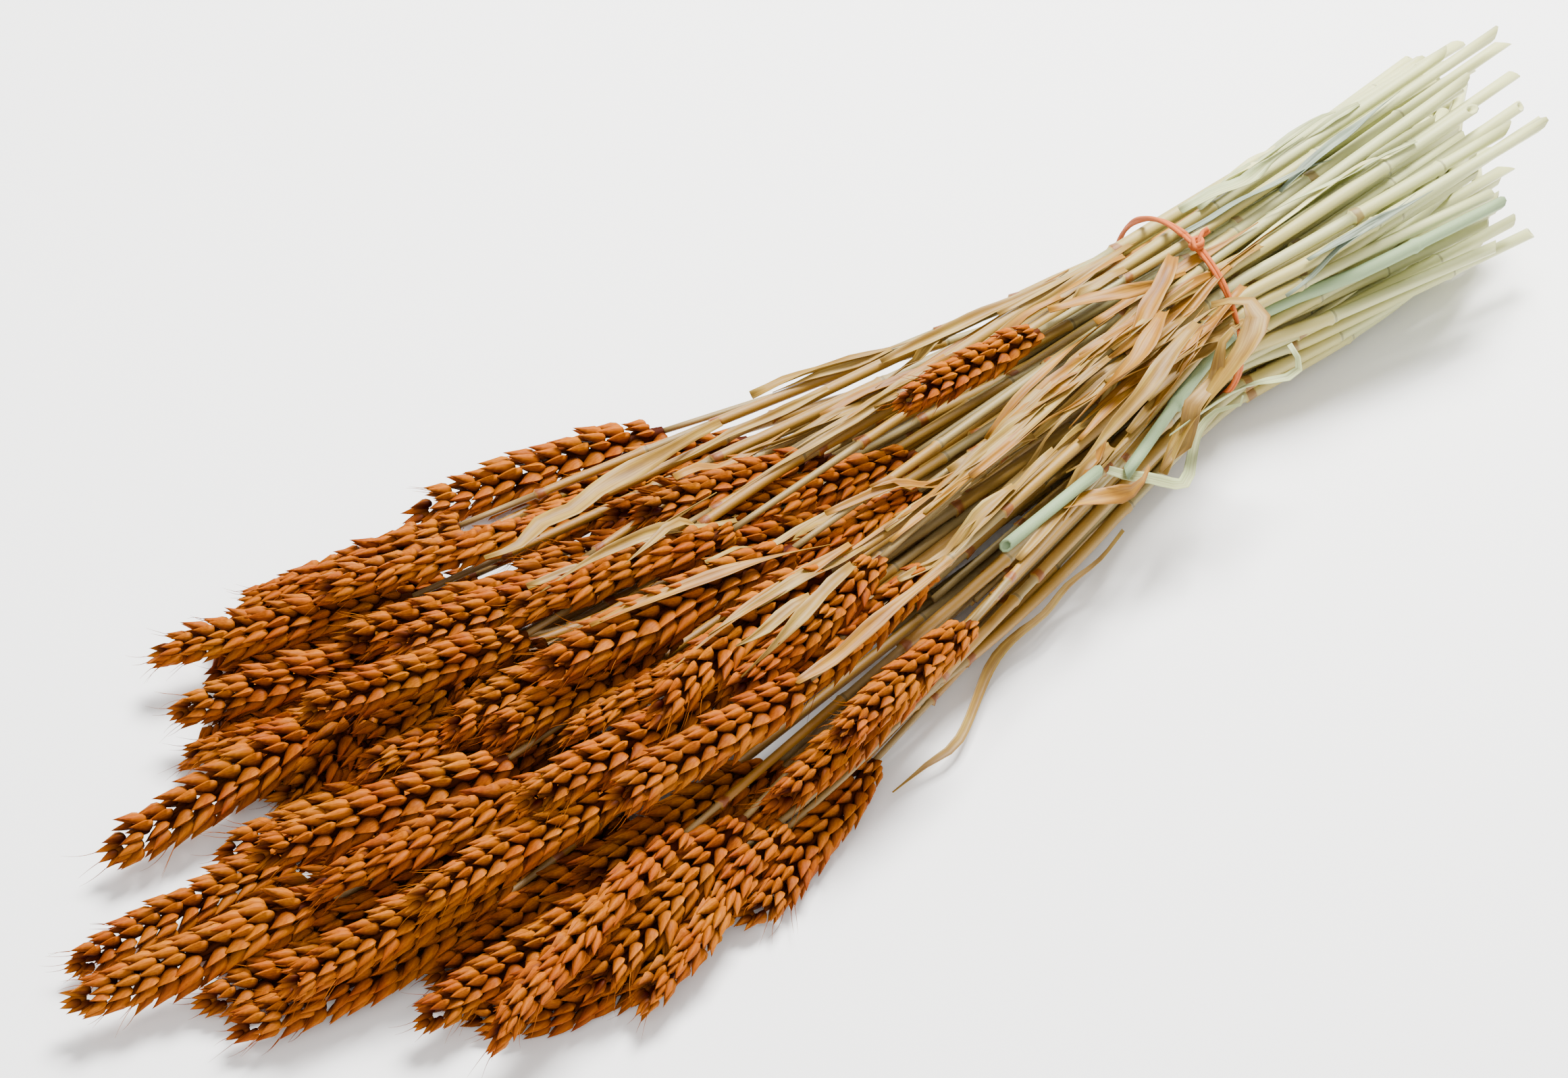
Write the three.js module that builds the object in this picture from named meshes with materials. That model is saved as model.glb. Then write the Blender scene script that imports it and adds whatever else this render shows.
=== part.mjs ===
// A tied bunch of dyed wheat, lying on its side.
//
// The bunch lies along X, with the ears at the low end of X and the cut stems at the high end.
// Z is up, and the bunch rests on Z = 0. Each stalk is one closed solid, stem and ear together,
// because it grew as one piece. A band holds the stems at the waist, and loose leaf blades and
// short cut stems are caught among them.
//
// Every long piece starts as a few rings on a rough route. The rings are then settled: they are
// pulled towards their route, straightened as a stiff stem is, pushed clear of each other, and
// kept above the table and inside the band.
import * as THREE from 'three';

// ---- Driving dimensions, in millimetres and degrees ----
const TABLE = 0;
const GAP = 0.5; // clear space kept between any two pieces
const SAMPLE = 5; // spacing along X at which two pieces are compared
const RING_STEP = 30; // spacing of a stem's rings
const SIDES = 5; // sides of a stem and of a plain ear

const TIE = {
  x: 130, // the waist of the bunch
  y: 2, // middle of the band across the bunch
  height: 32.7, // centre of the band above the table
  hold: 29.5, // radius that the stems are held inside
  slack: 1.5, // room for the stems' slope under the band
  skew: 0.12, // the far side of the band sits nearer the cut ends: millimetres for each one across
  cord: 1.6, // thickness of the cord, whose two strands lie side by side
  segments: 32,
};

const EAR_RADIUS = 6.4;
// Outline of a plain ear: distance from its tip as a part of its length, and part of EAR_RADIUS.
const EAR_OUTLINE = [[0.07, 0.42], [0.24, 0.86], [0.5, 1], [0.8, 0.9], [0.93, 0.55]];
// The heap of ears across the bunch and above the table, which the stems under the band follow.
const EARS = { y: 10, halfWidth: 85, height: 26, halfHeight: 26 };
const NECK_RADIUS = 1.15; // the thin stem just below the ear
const BUTT_RADIUS = 2.3; // the stem at its cut end
const NECK_LENGTH = 220; // the stem reaches its full thickness this far below the ear

const CUT = {
  x: 270, // middle of the ragged cut ends
  ragged: 21, // how far a stem may be cut before or beyond that
  uneven: 5, // how far a cut end may lie from an even spread
  slant: 0.6, // the far side is cut longer: millimetres along X for each one across
  y: -3, // middle of the cut ends across the bunch
  height: 37, // middle of the cut ends above the table
  spreadAcross: 1.55, // the cut ends spread to this many times the waist
  spreadUp: 1.25,
};

// One row for each stalk: [x of the ear's tip, y of the ear's tip, heading of the ear away from
// its tip, length of the ear, height of the ear above the table].
const STALKS = [
  // the far edge
  [-105, 115, -18, 90, 9], [-75, 90, -16, 80, 9], [-105, 80, -13, 75, 16], [-45, 75, -22, 75, 9],
  [-175, 115, -17, 80, 14], [-160, 90, -20, 75, 30], [-205, 115, -27, 85, 16], [-190, 100, -26, 70, 8],
  // the far half
  [-165, 70, -19, 80, 26], [-160, 50, -17, 75, 38], [-130, 35, -17, 80, 42], [-105, 60, -24, 70, 24],
  [-70, 60, -20, 70, 24], [-70, 45, -20, 70, 36], [-215, 90, -22, 75, 16], [-220, 80, -18, 75, 8],
  // the middle, from the tips inwards
  [-260, 60, -6, 90, 12], [-210, 55, -18, 65, 8], [-195, 48, -18, 75, 36], [-190, 30, -14, 70, 22],
  [-235, 20, -15, 85, 26], [-235, 40, -14, 75, 9], [-165, 20, -10, 75, 28], [-160, 5, -5, 70, 34],
  [-145, -10, -6, 70, 36], [-230, 0, -12, 80, 26], [-140, 5, -9, 90, 48], [-80, 30, -20, 70, 32],
  [-70, -5, -5, 70, 40], [-52, 24, -16, 68, 33], [6, 7, -4, 58, 62],
  // the farthest reaching ears
  [-290, 35, -8, 80, 8], [-300, 20, -15, 85, 14], [-255, 5, -16, 80, 8], [-270, 0, -14, 75, 8],
  // the near half
  [-255, -20, -9, 75, 20], [-215, -30, -6, 75, 34], [-175, -30, -3, 75, 44], [-155, -45, -3, 75, 44],
  [-130, -35, 7, 80, 52], [-105, -40, 7, 70, 50], [-90, -45, 5, 70, 42], [-90, -68, 6, 65, 40],
  // the near edge
  [-225, -75, 12, 90, 24], [-190, -75, 12, 75, 16], [-180, -85, 14, 75, 10], [-135, -80, 15, 75, 9],
  [-110, -65, 7, 75, 24], [-215, -32, -6, 80, 9], [-230, -50, -2, 80, 12], [-270, -15, -11, 85, 9],
  // low in the middle
  [-165, -40, -6, 75, 12], [-135, -55, -4, 70, 14], [-120, 5, -6, 75, 18],
];

// Loose pieces caught in the bunch. A route is [x, y, z] points, from the ears' end to the cut end.
// A blade is a flat leaf, and a straw is a short length of cut stem.
const BLADE = { width: 6.4, thickness: 0.9, room: 3.3 };
const STRAW_RADIUS = 2.3;
const LOOSE = [
  { name: 'leaf_edge', kind: 'blade', route: [[-65, -74, 4], [-25, -62, 5], [15, -52, 9], [55, -44, 16]] },
  { name: 'leaf_far', kind: 'blade', route: [[-120, 52, 48], [-85, 54, 50], [-55, 56, 46], [-20, 58, 36]] },
  { name: 'leaf_fold', kind: 'blade', route: [[68, -50, 34], [82, -48, 44], [95, -45, 54], [112, -38, 62]] },
  { name: 'straw_short', kind: 'straw', route: [[0, -48, 46], [46, -45, 48]] },
  { name: 'straw_pale', kind: 'straw', route: [[50, -48, 44], [130, -24, 42], [180, -32, 46], [235, -45, 50]] },
];

// ---- Settling ----
const ROUNDS = 700;
const SHARE_TIP = 0.25; // part of the way that an ear is pulled back to its place in one round
const SHARE_STRAIGHT = 0.35; // part of the way that a ring moves to the line between its neighbours
const SHARE_PUSH = 0.5; // part of an overlap that one round takes away
const TIE_ROOM = 7.2; // distance that stems under the band spread to, centre to centre
const SHARE_ROOM = 0.08;
const BAND_REACH = TIE.hold - BUTT_RADIUS; // how far from its middle a stem's centre can be

const degrees = Math.PI / 180;

// A repeatable number from -1 to 1 for a piece and a purpose.
function scatter(index, purpose) {
  const wave = Math.sin(index * 12.9898 + purpose * 78.233) * 43758.5453;
  return (wave - Math.floor(wave)) * 2 - 1;
}

function mix(a, b, share) {
  return a + (b - a) * share;
}

function onGrid(x) {
  return Math.round(x / SAMPLE) * SAMPLE;
}

// The rings of a piece along X, each with its radius and the place it is first put at.
function ring(x, radius, y, z, pull = 0) {
  return { x, radius, y, z, homeY: y, homeZ: z, pull };
}

// Where a stalk passes the band, from where its ear lies across the bunch and above the table.
function placeInBand([tipX, tipY, heading, length, height], index) {
  const earY = tipY + length * Math.sin(heading * degrees);
  const across = (earY - EARS.y) / EARS.halfWidth + scatter(index, 1) * 0.12;
  const up = (height - EARS.height) / EARS.halfHeight + scatter(index, 2) * 0.2;
  const far = Math.max(1, Math.hypot(across, up));
  return { across: (across / far) * BAND_REACH, up: (up / far) * BAND_REACH };
}

// Spreads the places in the band evenly over its whole round, so that no side of it is empty.
function spreadInBand(places) {
  for (let round = 0; round < 200; round += 1) {
    places.forEach((a, i) => places.slice(i + 1).forEach((b) => {
      const across = a.across - b.across;
      const up = a.up - b.up || 0.01;
      const distance = Math.hypot(across, up);
      const move = Math.max(0, TIE_ROOM - distance) / (4 * distance);
      a.across += across * move;
      a.up += up * move;
      b.across -= across * move;
      b.up -= up * move;
    }));
    for (const place of places) {
      const over = Math.max(1, Math.hypot(place.across, place.up) / BAND_REACH);
      place.across /= over;
      place.up /= over;
    }
  }
  return places;
}

function stemRadius(distance) {
  return mix(NECK_RADIUS, BUTT_RADIUS, Math.min(1, distance / NECK_LENGTH));
}

function stalk([tipX, tipY, heading, length, height], index, bandPlace) {
  const slope = Math.tan(heading * degrees);
  const baseX = onGrid(tipX + length * Math.cos(heading * degrees));
  const baseY = tipY + (baseX - tipX) * slope;
  const band = { y: TIE.y + bandPlace.across, z: TIE.height + bandPlace.up };
  const lift = (band.z - height) / (TIE.x - tipX);
  const along = (x) => ({ y: tipY + (x - tipX) * slope, z: height + (x - tipX) * lift });

  const rings = [ring(tipX, 0, tipY, height, SHARE_TIP)];
  for (const [part, size] of EAR_OUTLINE) {
    const x = onGrid(tipX + part * (baseX - tipX));
    rings.push(ring(x, size * EAR_RADIUS, along(x).y, along(x).z, SHARE_TIP));
  }
  rings.push(ring(baseX, NECK_RADIUS, baseY, along(baseX).z, SHARE_TIP));

  const endX = onGrid(CUT.x + bandPlace.across * CUT.slant + scatter(index, 3) * CUT.ragged);
  const endY = CUT.y + bandPlace.across * CUT.spreadAcross + scatter(index, 4) * CUT.uneven;
  const endZ = CUT.height + bandPlace.up * CUT.spreadUp + scatter(index, 5) * CUT.uneven;
  const first = baseX + RING_STEP * 0.6;
  const start = TIE.x - Math.floor((TIE.x - first) / RING_STEP) * RING_STEP;
  for (let x = start; x < endX - RING_STEP / 2; x += RING_STEP) {
    const before = (x - baseX) / (TIE.x - baseX);
    const after = (x - TIE.x) / (endX - TIE.x);
    const y = x < TIE.x ? mix(baseY, band.y, before) : mix(band.y, endY, after);
    const z = x < TIE.x ? mix(height, band.z, before) : mix(band.z, endZ, after);
    rings.push(ring(x, stemRadius(x - baseX), y, z));
  }
  rings.push(ring(endX, BUTT_RADIUS, endY, endZ, 0.03));
  return { name: `stalk_${String(index + 1).padStart(2, '0')}`, kind: 'stalk', rings };
}

function loosePiece({ name, kind, route }) {
  const radius = kind === 'straw' ? STRAW_RADIUS : BLADE.room;
  const rings = route.map(([x, y, z]) => ring(onGrid(x), radius, y, z, 0.1));
  return { name, kind, rings };
}

// For each X that a piece is compared at: the ring before it and the share of the way to the next.
function addSamples(piece) {
  piece.samples = new Map();
  piece.rings.slice(0, -1).forEach((from, i) => {
    const to = piece.rings[i + 1];
    for (let x = from.x; x <= to.x; x += SAMPLE) {
      const share = (x - from.x) / (to.x - from.x);
      piece.samples.set(x, { from, to, share, radius: mix(from.radius, to.radius, share) });
    }
  });
}

function centreAt({ from, to, share }) {
  return { y: mix(from.y, to.y, share), z: mix(from.z, to.z, share) };
}

// Moves the piece by (dy, dz) at a sample, by moving the two rings on either side of it.
function nudge({ from, to, share }, dy, dz) {
  const weight = (1 - share) ** 2 + share ** 2;
  const near = (1 - share) / weight;
  const far = share / weight;
  from.y += dy * near;
  from.z += dz * near;
  to.y += dy * far;
  to.z += dz * far;
}

function pullHome(piece, strength) {
  for (const at of piece.rings) {
    at.y += (at.homeY - at.y) * at.pull * strength;
    at.z += (at.homeZ - at.z) * at.pull * strength;
  }
}

function straighten(piece, strength) {
  for (let i = 1; i < piece.rings.length - 1; i += 1) {
    const before = piece.rings[i - 1];
    const at = piece.rings[i];
    const after = piece.rings[i + 1];
    const share = (at.x - before.x) / (after.x - before.x);
    at.y += (mix(before.y, after.y, share) - at.y) * SHARE_STRAIGHT * strength;
    at.z += (mix(before.z, after.z, share) - at.z) * SHARE_STRAIGHT * strength;
  }
}

function pushPair(a, b, room, strength) {
  const at = centreAt(a);
  const other = centreAt(b);
  const dy = at.y - other.y;
  const dz = at.z - other.z || 0.01;
  const distance = Math.hypot(dy, dz);
  const short = room - distance;
  if (short <= 0) return;
  const move = (short * strength) / (2 * distance);
  nudge(a, dy * move, dz * move);
  nudge(b, -dy * move, -dz * move);
}

function pushApart(pieces, stations, strength) {
  for (const x of stations) {
    const here = pieces.filter((piece) => piece.samples.has(x)).map((piece) => piece.samples.get(x));
    const inBand = Math.abs(x - TIE.x) < RING_STEP;
    for (let i = 0; i < here.length; i += 1) {
      for (let j = i + 1; j < here.length; j += 1) {
        pushPair(here[i], here[j], here[i].radius + here[j].radius + GAP, SHARE_PUSH);
        if (inBand) pushPair(here[i], here[j], TIE_ROOM, SHARE_ROOM * strength);
      }
    }
  }
}

function keepAboveTable(piece) {
  for (const at of piece.rings) at.z = Math.max(at.z, TABLE + at.radius);
}

function keepInsideBand(piece) {
  const sample = piece.samples.get(TIE.x);
  if (!sample) return;
  const { y, z } = centreAt(sample);
  const across = y - TIE.y;
  const up = z - TIE.height;
  const distance = Math.hypot(across, up);
  const over = distance - (TIE.hold - sample.radius);
  if (over > 0) nudge(sample, (-across * over) / distance, (-up * over) / distance);
}

function settle(pieces) {
  pieces.forEach(addSamples);
  const stations = [...new Set(pieces.flatMap((piece) => [...piece.samples.keys()]))];
  stations.sort((a, b) => a - b);
  for (let round = 0; round < ROUNDS; round += 1) {
    const strength = Math.max(0, 1 - round / (ROUNDS * 0.8));
    for (const piece of pieces) {
      pullHome(piece, strength);
      straighten(piece, strength);
    }
    pushApart(pieces, stations, strength);
    pieces.forEach(keepInsideBand);
    pieces.forEach(keepAboveTable);
  }
}

// ---- Solids ----

// A round solid along X whose section at every X is centred on the piece's route.
function roundSolid(piece) {
  const ends = [piece.rings[0], piece.rings[piece.rings.length - 1]];
  const profile = piece.rings.filter((at) => at.radius > 0);
  const points = profile.map((at) => new THREE.Vector2(at.radius, at.x));
  points.unshift(new THREE.Vector2(0, ends[0].x));
  points.push(new THREE.Vector2(0, ends[1].x));
  const geometry = new THREE.LatheGeometry(points, SIDES);
  geometry.rotateZ(-Math.PI / 2);
  const position = geometry.getAttribute('position');
  for (let i = 0; i < position.count; i += 1) {
    const x = Math.round(position.getX(i) * 1000) / 1000;
    const after = Math.max(1, piece.rings.findIndex((at) => at.x >= x));
    const from = piece.rings[after - 1];
    const to = piece.rings[after];
    const share = (x - from.x) / (to.x - from.x);
    position.setXYZ(
      i,
      x,
      position.getY(i) + mix(from.y, to.y, share),
      position.getZ(i) + mix(from.z, to.z, share),
    );
  }
  return geometry;
}

// A thin leaf blade with a lens section, along a smooth curve through its route.
function bladeSolid(piece) {
  const points = piece.rings.map((at) => new THREE.Vector3(at.x, at.y, at.z));
  const curve = new THREE.CatmullRomCurve3(points, false, 'centripetal');
  const halfWidth = BLADE.width / 2;
  const halfThickness = BLADE.thickness / 2;
  const section = new THREE.Shape([
    new THREE.Vector2(0, -halfWidth),
    new THREE.Vector2(halfThickness, 0),
    new THREE.Vector2(0, halfWidth),
    new THREE.Vector2(-halfThickness, 0),
  ]);
  const steps = (piece.rings.length - 1) * 3;
  return new THREE.ExtrudeGeometry(section, { extrudePath: curve, steps, bevelEnabled: false });
}

// The cord has two strands that lie side by side, so the section of the band is two rounds.
function bandSolid() {
  const half = TIE.cord / 2;
  const inner = TIE.hold + TIE.slack;
  const middle = inner + half;
  const section = [
    [inner, -half], [middle, -2 * half], [inner + TIE.cord, -half],
    [middle + half * 0.4, 0],
    [inner + TIE.cord, half], [middle, 2 * half], [inner, half],
    [middle - half * 0.4, 0],
    [inner, -half],
  ];
  const points = section.map(([radius, along]) => new THREE.Vector2(radius, along));
  const geometry = new THREE.LatheGeometry(points, TIE.segments);
  geometry.rotateZ(-Math.PI / 2);
  geometry.applyMatrix4(new THREE.Matrix4().makeShear(0, 0, TIE.skew, 0, 0, 0));
  geometry.translate(TIE.x, TIE.y, TIE.height);
  return geometry;
}

// ---- Materials ----
const STRAW_COLOUR = new THREE.MeshStandardMaterial({ color: '#bfa878', roughness: 0.55, metalness: 0 });
const LEAF_COLOUR = new THREE.MeshStandardMaterial({ color: '#c08a52', roughness: 0.7, metalness: 0 });
const PALE_COLOUR = new THREE.MeshStandardMaterial({ color: '#d3d6b8', roughness: 0.5, metalness: 0 });
const CORD_COLOUR = new THREE.MeshStandardMaterial({ color: '#dd6f27', roughness: 0.6, metalness: 0 });
const MATERIALS = { stalk: STRAW_COLOUR, blade: LEAF_COLOUR, straw: PALE_COLOUR };

function namedMesh(name, geometry, material) {
  const mesh = new THREE.Mesh(geometry, material);
  mesh.name = name;
  return mesh;
}

function meshOf(piece) {
  const geometry = piece.kind === 'blade' ? bladeSolid(piece) : roundSolid(piece);
  return namedMesh(piece.name, geometry, MATERIALS[piece.kind]);
}

// The origin is moved to the middle of the underside of the whole bunch.
function centreOnTable(group) {
  const box = new THREE.Box3().setFromObject(group);
  const middle = box.getCenter(new THREE.Vector3());
  group.position.set(-middle.x, -middle.y, -box.min.z);
  group.updateMatrixWorld(true);
}

const bandPlaces = spreadInBand(STALKS.map(placeInBand));
const stalks = STALKS.map((row, index) => stalk(row, index, bandPlaces[index]));
const pieces = [...stalks, ...LOOSE.map(loosePiece)];
settle(pieces);

const bunch = new THREE.Group();
pieces.map(meshOf).forEach((mesh) => bunch.add(mesh));
bunch.add(namedMesh('tie_band', bandSolid(), CORD_COLOUR));
centreOnTable(bunch);

export default bunch;
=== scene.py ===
"""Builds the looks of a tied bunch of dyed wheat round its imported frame.

The bunch lies along X, ears at the low end and cut stems at the high end. Every stalk, loose
leaf and straw follows the middle line of its solid in the frame, and what the frame leaves out,
such as the stalks inside the heap and the small leaves, is fitted between them.
"""

import math
import random

import bmesh
import bpy
import numpy as np
from bpy.props import FloatProperty, FloatVectorProperty, IntProperty, PointerProperty
from mathutils import Matrix, Vector


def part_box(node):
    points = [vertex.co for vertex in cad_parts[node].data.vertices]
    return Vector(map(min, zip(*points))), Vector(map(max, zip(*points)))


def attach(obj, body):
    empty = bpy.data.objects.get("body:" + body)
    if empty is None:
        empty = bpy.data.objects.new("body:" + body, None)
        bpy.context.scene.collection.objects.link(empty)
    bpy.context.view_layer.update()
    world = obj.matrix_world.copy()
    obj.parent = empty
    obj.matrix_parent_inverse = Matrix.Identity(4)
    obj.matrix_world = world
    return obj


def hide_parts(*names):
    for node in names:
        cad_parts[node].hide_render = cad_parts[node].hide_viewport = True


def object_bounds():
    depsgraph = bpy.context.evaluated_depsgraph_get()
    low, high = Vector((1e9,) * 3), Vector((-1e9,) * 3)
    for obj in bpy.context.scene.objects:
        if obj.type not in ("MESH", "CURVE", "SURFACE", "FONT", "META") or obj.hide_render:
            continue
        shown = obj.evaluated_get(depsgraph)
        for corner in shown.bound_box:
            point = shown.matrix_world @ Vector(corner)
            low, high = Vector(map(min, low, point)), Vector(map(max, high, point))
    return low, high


bl_info = {
    "name": "Dried Wheat Bunch",
    "version": (1, 0, 0),
    "blender": (4, 5, 0),
    "location": "View3D > Sidebar > Wheat",
    "description": "Models the ears, straw, leaves and cord of a tied bunch of dried wheat",
    "category": "Add Mesh",
}

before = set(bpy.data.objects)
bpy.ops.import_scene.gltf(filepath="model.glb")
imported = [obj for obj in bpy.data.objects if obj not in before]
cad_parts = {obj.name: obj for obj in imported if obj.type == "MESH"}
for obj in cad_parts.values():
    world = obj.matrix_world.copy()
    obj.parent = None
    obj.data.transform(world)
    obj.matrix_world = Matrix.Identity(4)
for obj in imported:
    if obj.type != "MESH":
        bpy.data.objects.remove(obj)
CAD_LOW, CAD_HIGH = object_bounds()
MM = 0.001
UP = Vector((0, 0, 1))

TIE_LOW, TIE_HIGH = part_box("tie_band")
TIE_MIDDLE = (TIE_LOW + TIE_HIGH) / 2
STALK_NODES = sorted(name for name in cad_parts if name.startswith("stalk_"))


def srgb(code):
    """The linear colour of an sRGB hex value, with full alpha."""
    channels = [int(code[i : i + 2], 16) / 255 for i in (1, 3, 5)]
    linear = [c / 12.92 if c <= 0.04045 else ((c + 0.055) / 1.055) ** 2.4 for c in channels]
    return (*linear, 1.0)


def mix(a, b, share):
    return a + (b - a) * share


def smooth_step(low, high, value):
    """0 below low, 1 above high, and a smooth rise between them."""
    share = min(1.0, max(0.0, (value - low) / (high - low)))
    return share * share * (3 - 2 * share)


# ---- Sizes and colours that a user would change ----


class WheatEarSettings(bpy.types.PropertyGroup):
    """Sizes of the ears and their husks."""

    spacing: FloatProperty(
        name="Spikelet Spacing",
        description="Distance along the ear from one spikelet to the next, which is on its other side",
        default=3.3 * MM, min=2 * MM, max=8 * MM, unit="LENGTH", subtype="DISTANCE",
    )
    husk: FloatProperty(
        name="Husk Length",
        description="Length of the largest husk scale in a spikelet",
        default=8.7 * MM, min=5 * MM, max=16 * MM, unit="LENGTH", subtype="DISTANCE",
    )
    lean: FloatProperty(
        name="Spikelet Lean",
        description="How far a spikelet in the middle of the ear leans out from it",
        default=math.radians(14), min=0, max=math.radians(60), unit="ROTATION", subtype="ANGLE",
    )
    awn: FloatProperty(
        name="Awn Length",
        description="Length of the longest bristle near the ear's tip",
        default=11 * MM, min=0, max=40 * MM, unit="LENGTH", subtype="DISTANCE",
    )


class WheatStrawSettings(bpy.types.PropertyGroup):
    """Sizes of the straw stems."""

    swell: FloatProperty(
        name="Knot Swell",
        description="How far a knot stands out of its stem",
        default=0.45 * MM, min=0, max=2 * MM, unit="LENGTH", subtype="DISTANCE",
    )
    sheath: FloatProperty(
        name="Sheath Thickness",
        description="Thickness of the leaf sheath wrapped round a stem",
        default=0.28 * MM, min=0, max=1 * MM, unit="LENGTH", subtype="DISTANCE",
    )
    slant: FloatProperty(
        name="Cut Slant",
        description="How far back the most slanted cut end runs along its stem",
        default=9 * MM, min=0, max=30 * MM, unit="LENGTH", subtype="DISTANCE",
    )
    bore: FloatProperty(
        name="Bore",
        description="Part of a cut straw's thickness that is hollow",
        default=0.62, min=0.1, max=0.9,
    )


class WheatFillSettings(bpy.types.PropertyGroup):
    """Stalks and straws between the ones that the frame holds."""

    stalks: IntProperty(
        name="Inner Stalks", description="Stalks with ears inside the heap", default=34, min=0, max=60
    )
    straws: IntProperty(
        name="Inner Straws", description="Stems without ears inside the bunch", default=24, min=0, max=60
    )
    seed: IntProperty(
        name="Seed", description="Picks another arrangement of the hidden stalks", default=7, min=0
    )


class WheatLeafSettings(bpy.types.PropertyGroup):
    """Sizes of the dry leaf blades."""

    width: FloatProperty(
        name="Blade Width",
        description="Width of a flat leaf blade at its widest",
        default=6.0 * MM, min=1 * MM, max=20 * MM, unit="LENGTH", subtype="DISTANCE",
    )
    thickness: FloatProperty(
        name="Blade Thickness",
        description="Thickness of a leaf blade",
        default=0.18 * MM, min=0.05 * MM, max=1 * MM, unit="LENGTH", subtype="DISTANCE",
    )
    count: IntProperty(
        name="Heap Leaves", description="Small leaves that lie along the heap", default=96, min=0, max=300
    )


class WheatTieSettings(bpy.types.PropertyGroup):
    """Sizes of the cord."""

    strand: FloatProperty(
        name="Strand Thickness",
        description="Thickness of each of the cord's two strands",
        default=1.5 * MM, min=0.5 * MM, max=4 * MM, unit="LENGTH", subtype="DISTANCE",
    )


class WheatStageSettings(bpy.types.PropertyGroup):
    """Camera, floor and lights."""

    distance: FloatProperty(
        name="Camera Distance", description="Distance from the camera to the bunch",
        default=1.15, min=0.3, max=10, unit="LENGTH", subtype="DISTANCE",
    )
    azimuth: FloatProperty(
        name="Azimuth", description="Turn of the camera round the bunch, 0 looking along +Y",
        default=math.radians(-42), unit="ROTATION", subtype="ANGLE",
    )
    elevation: FloatProperty(
        name="Elevation", description="Height of the camera as an angle above the floor",
        default=math.radians(45), unit="ROTATION", subtype="ANGLE",
    )
    lens: FloatProperty(
        name="Focal Length", description="Focal length on a 36 mm wide sensor, in millimetres",
        default=85, min=20, max=200,
    )
    aim: FloatVectorProperty(
        name="Aim", description="Point that the camera looks at",
        default=(-0.033, -0.0008, 0.0259), size=3, unit="LENGTH", subtype="TRANSLATION",
    )


# ---- Middle lines of the solids in the frame ----


class Strand:
    """A long piece's middle line, as places with a radius, from the ears' end to the cut end."""

    def __init__(self, places, radii):
        self.places = places
        self.radii = radii

    def at(self, x):
        """The middle and radius where the strand crosses a value of X, held at its two ends."""
        places = self.places
        for i in range(len(places) - 1):
            if x <= places[i + 1].x or i == len(places) - 2:
                share = min(1.0, max(0.0, (x - places[i].x) / (places[i + 1].x - places[i].x)))
                return places[i].lerp(places[i + 1], share), mix(self.radii[i], self.radii[i + 1], share)


def read_strand(name):
    """Finds the rings of a node's solid, which each lie at one value of X."""
    rings = {}
    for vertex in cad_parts[name].data.vertices:
        rings.setdefault(round(vertex.co.x / (0.5 * MM)), set()).add(tuple(round(c, 5) for c in vertex.co))
    places, radii = [], []
    for key in sorted(rings):
        points = [Vector(point) for point in sorted(rings[key])]
        middle = sum(points, Vector()) / len(points)
        places.append(middle)
        radii.append(max((point - middle).length for point in points))
    return Strand(places, radii)


def smooth_line(points, step):
    """A smooth line through points, as places about one step apart."""
    ends = [points[0] * 2 - points[1], *points, points[-1] * 2 - points[-2]]
    line = []
    for i in range(1, len(ends) - 2):
        a, b, c, d = ends[i - 1 : i + 3]
        count = max(1, round((c - b).length / step))
        for k in range(count):
            t = k / count
            square = (2 * a - 5 * b + 4 * c - d) * t**2
            cube = (3 * b - a - 3 * c + d) * t**3
            line.append(0.5 * (2 * b + (c - a) * t + square + cube))
    line.append(points[-1].copy())
    return line


def tangents(line):
    """The direction of a line at each of its places."""
    last = len(line) - 1
    return [(line[min(i + 1, last)] - line[max(i - 1, 0)]).normalized() for i in range(len(line))]


def distances_along(line):
    """The distance from the start of a line to each of its places."""
    distances = [0.0]
    for a, b in zip(line, line[1:]):
        distances.append(distances[-1] + (b - a).length)
    return distances


def frame_at(place, along, out):
    """A matrix at place with X along a line and Z as near to out as it can be."""
    x = along.normalized()
    y = out.cross(x).normalized()
    z = x.cross(y)
    return Matrix.Translation(place) @ Matrix((x, y, z)).transposed().to_4x4()


STRANDS = {name: read_strand(name) for name in STALK_NODES}

# An ear's foot is the first ring past its widest one whose radius is less than this.
THICKEST_NECK = 1.6 * MM

# The ear that lies highest, on top of the stems.
TOPMOST = max(STALK_NODES, key=lambda name: STRANDS[name].places[0].z)


def neck_index(strand):
    """The ring at the foot of the ear, where the thin stem starts."""
    widest = max(range(len(strand.radii)), key=lambda i: strand.radii[i])
    return next(i for i in range(widest, len(strand.radii)) if strand.radii[i] < THICKEST_NECK)


# ---- Modelling helpers ----


def layers(bm):
    """The vertex layers that the materials read: the place on the unbent piece, a tone, and how far a place
    stands out from the crevices, from 0 to 1, which the chaff's material turns into painted shade."""
    floats = bm.verts.layers.float
    grain = bm.verts.layers.float_vector.get("grain") or bm.verts.layers.float_vector.new("grain")
    tone = floats.get("tone") or floats.new("tone")
    shade = floats.get("shade") or floats.new("shade")
    return grain, tone, shade


def finish_mesh(bm, name, smooth=True):
    mesh = bpy.data.meshes.new(name)
    bm.to_mesh(mesh)
    bm.free()
    if smooth:
        mesh.polygons.foreach_set("use_smooth", [True] * len(mesh.polygons))
    return mesh


def add_piece(mesh, material, replaced=()):
    """Puts a finished mesh in the scene as a piece of the bunch."""
    piece = bpy.data.objects.new(mesh.name, mesh)
    bpy.context.scene.collection.objects.link(piece)
    mesh.materials.append(material)
    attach(piece, "root")
    if replaced:
        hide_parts(*replaced)
    return piece


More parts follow.
